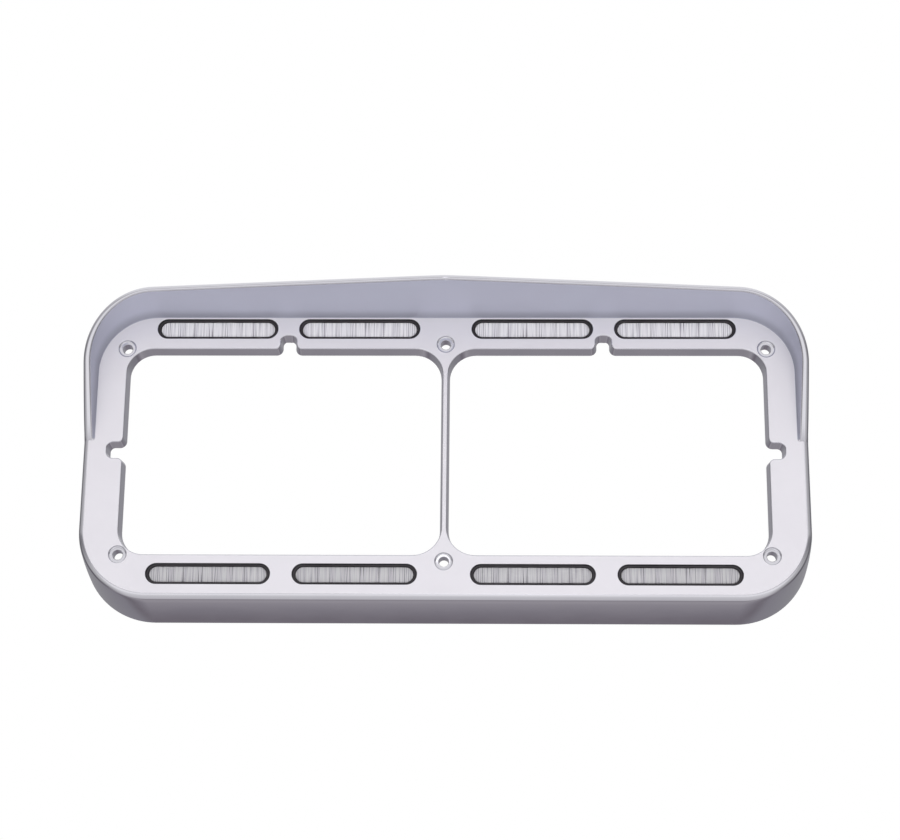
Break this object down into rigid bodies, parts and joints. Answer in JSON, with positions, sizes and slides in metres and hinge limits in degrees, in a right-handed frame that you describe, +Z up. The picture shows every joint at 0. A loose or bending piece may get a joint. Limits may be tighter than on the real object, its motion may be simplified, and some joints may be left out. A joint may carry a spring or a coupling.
{
  "type": "headlight bezel",
  "caption": "Chrome bezel for paired rectangular truck headlamps: pointed visor over the top, deep skirt, thin divider bar, slim clear marker lamps above and below the openings.",
  "frame": {"origin": "centre of the divider bar's rear face, on the plane where the flange and screw bosses seat against the truck; midway across the width, and at half the openings' height", "axes": "+X along the width, to the viewer's right from the front; -Y out of the face towards the viewer; +Y back into the truck; +Z up"},
  "size_m": [0.4004, 0.0915, 0.1724],
  "materials": {
    "chrome": "polished chrome plate on a die casting",
    "clear": "clear moulded lens with fine upright flutes",
    "rubber": "matt black rubber",
    "housing": "fine moulded texture",
    "board": "white solder mask with light emitters",
    "steel": "zinc-plated",
    "sleeve": "black convoluted wiring sleeve",
    "nylon": "black moulded nylon"
  },
  "bodies": {
    "root": {"bezel_casting": "chrome", "lens_top_1": "clear", "gasket_top_1": "rubber", "lamp_housing_top_1": "housing", "led_board_top_1": "board", "lamp_screw_top_1": "steel", "lens_top_2": "clear", "gasket_top_2": "rubber", "lamp_housing_top_2": "housing", "led_board_top_2": "board", "lamp_screw_top_2": "steel", "lens_top_3": "clear", "gasket_top_3": "rubber", "lamp_housing_top_3": "housing", "led_board_top_3": "board", "lamp_screw_top_3": "steel", "lens_top_4": "clear", "gasket_top_4": "rubber", "lamp_housing_top_4": "housing", "led_board_top_4": "board", "lamp_screw_top_4": "steel", "lens_bottom_1": "clear", "gasket_bottom_1": "rubber", "lamp_housing_bottom_1": "housing", "led_board_bottom_1": "board", "lamp_screw_bottom_1": "steel", "lens_bottom_2": "clear", "gasket_bottom_2": "rubber", "lamp_housing_bottom_2": "housing", "led_board_bottom_2": "board", "lamp_screw_bottom_2": "steel", "lens_bottom_3": "clear", "gasket_bottom_3": "rubber", "lamp_housing_bottom_3": "housing", "led_board_bottom_3": "board", "lamp_screw_bottom_3": "steel", "lens_bottom_4": "clear", "gasket_bottom_4": "rubber", "lamp_housing_bottom_4": "housing", "led_board_bottom_4": "board", "lamp_screw_bottom_4": "steel", "lamp_clip_top_left": "steel", "clip_screw_top_left": "steel", "harness_saddle_top_left": "nylon", "lamp_clip_top_right": "steel", "clip_screw_top_right": "steel", "harness_saddle_top_right": "nylon", "lamp_clip_bottom_left": "steel", "clip_screw_bottom_left": "steel", "harness_saddle_bottom_left": "nylon", "lamp_clip_bottom_right": "steel", "clip_screw_bottom_right": "steel", "harness_saddle_bottom_right": "nylon", "wiring_harness": "sleeve", "lead_socket": "nylon", "socket_screw_left": "steel", "socket_screw_right": "steel"}
  },
  "joints": []
}
